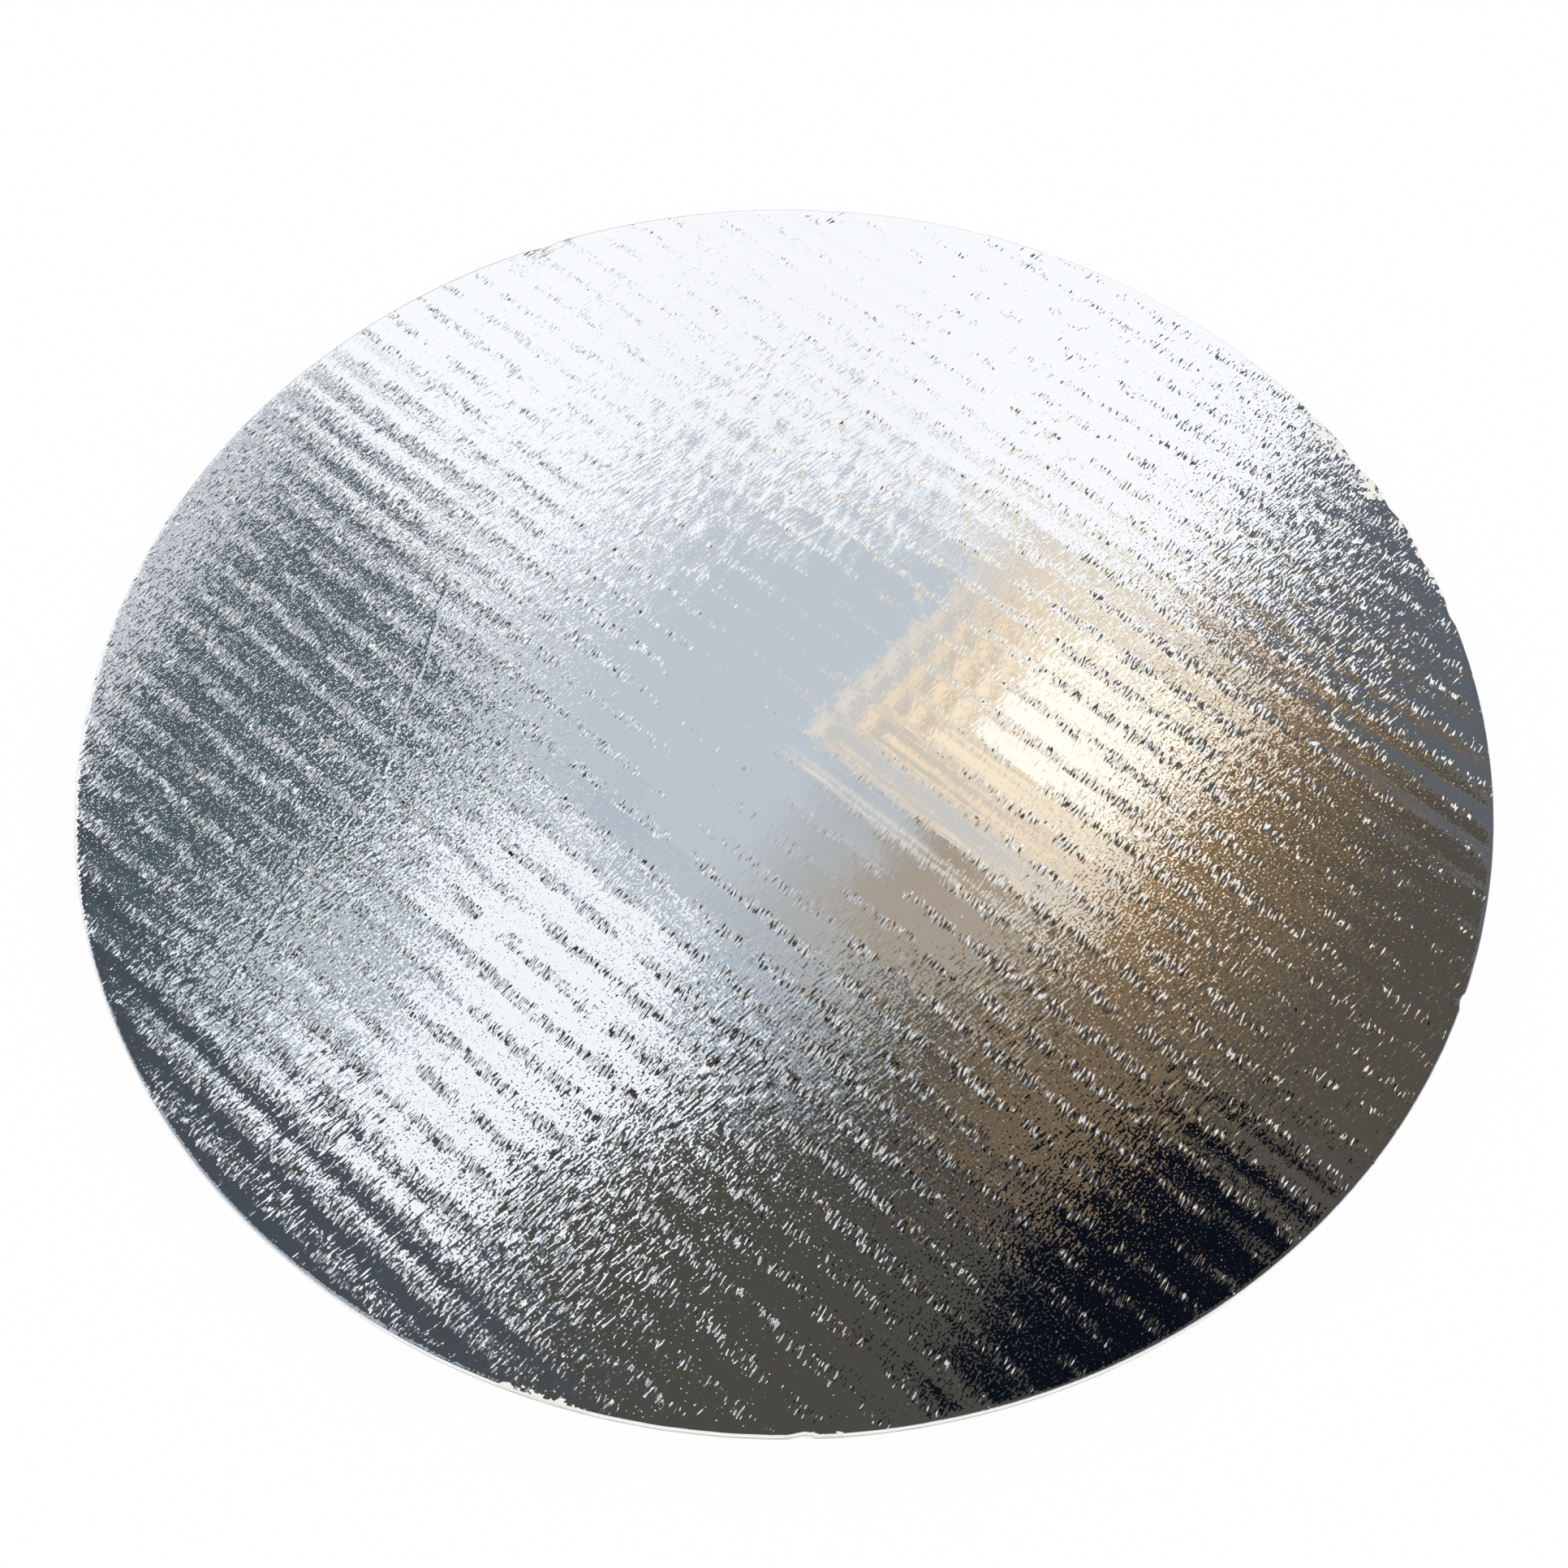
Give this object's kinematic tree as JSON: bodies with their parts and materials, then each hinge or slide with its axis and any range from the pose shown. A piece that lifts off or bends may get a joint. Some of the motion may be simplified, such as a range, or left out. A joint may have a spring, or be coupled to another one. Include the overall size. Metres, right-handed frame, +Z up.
{
  "type": "cake board",
  "caption": "Round corrugated cake board faced with silver foil, with the flutes showing through the face and a thin cut rim.",
  "frame": {"origin": "centre of the underside, which the board rests on", "axes": "+Z up out of the foil face, +X along the flutes, +Y across them"},
  "size_m": [0.254, 0.254, 0.0034],
  "materials": {
    "foil_board": "gloss"
  },
  "bodies": {
    "root": {"cake_board": "foil_board"}
  },
  "joints": []
}
